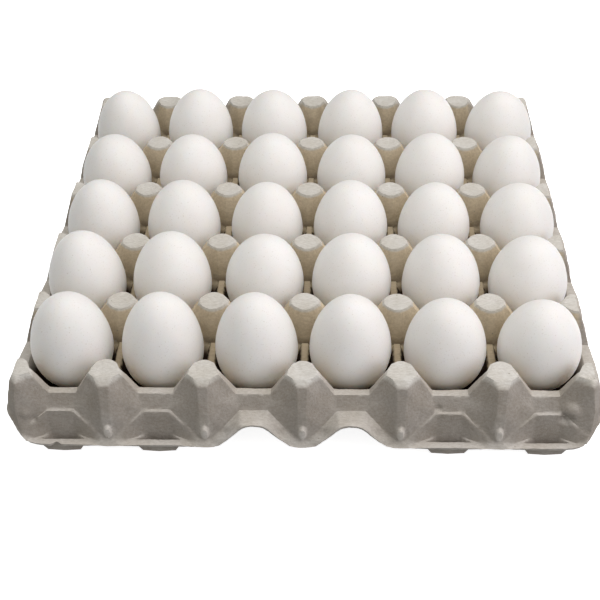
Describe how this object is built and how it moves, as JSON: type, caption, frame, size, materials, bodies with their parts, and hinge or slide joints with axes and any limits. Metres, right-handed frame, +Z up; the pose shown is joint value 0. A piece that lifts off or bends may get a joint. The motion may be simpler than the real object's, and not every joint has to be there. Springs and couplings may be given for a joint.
{
  "type": "open moulded-pulp egg tray with eggs",
  "caption": "Open grey moulded-pulp egg tray with posts, ridges and a scalloped rim, every pocket filled with a white egg standing point up.",
  "frame": {"origin": "centre of the bounding box at its bottom, on the surface the tray stands on", "axes": "+X towards the right end of the long sides, +Y from the front rim to the back rim, +Z up"},
  "size_m": [0.3012, 0.2956, 0.0697],
  "materials": {
    "pulp": "rough, matt",
    "eggshell": "fine-grained, matt"
  },
  "bodies": {
    "root": {"tray": "pulp", "egg_row1_1": "eggshell", "egg_row1_2": "eggshell", "egg_row1_3": "eggshell", "egg_row1_4": "eggshell", "egg_row1_5": "eggshell", "egg_row1_6": "eggshell", "egg_row2_1": "eggshell", "egg_row2_2": "eggshell", "egg_row2_3": "eggshell", "egg_row2_4": "eggshell", "egg_row2_5": "eggshell", "egg_row2_6": "eggshell", "egg_row3_1": "eggshell", "egg_row3_2": "eggshell", "egg_row3_3": "eggshell", "egg_row3_4": "eggshell", "egg_row3_5": "eggshell", "egg_row3_6": "eggshell", "egg_row4_1": "eggshell", "egg_row4_2": "eggshell", "egg_row4_3": "eggshell", "egg_row4_4": "eggshell", "egg_row4_5": "eggshell", "egg_row4_6": "eggshell", "egg_row5_1": "eggshell", "egg_row5_2": "eggshell", "egg_row5_3": "eggshell", "egg_row5_4": "eggshell", "egg_row5_5": "eggshell", "egg_row5_6": "eggshell"}
  },
  "joints": []
}
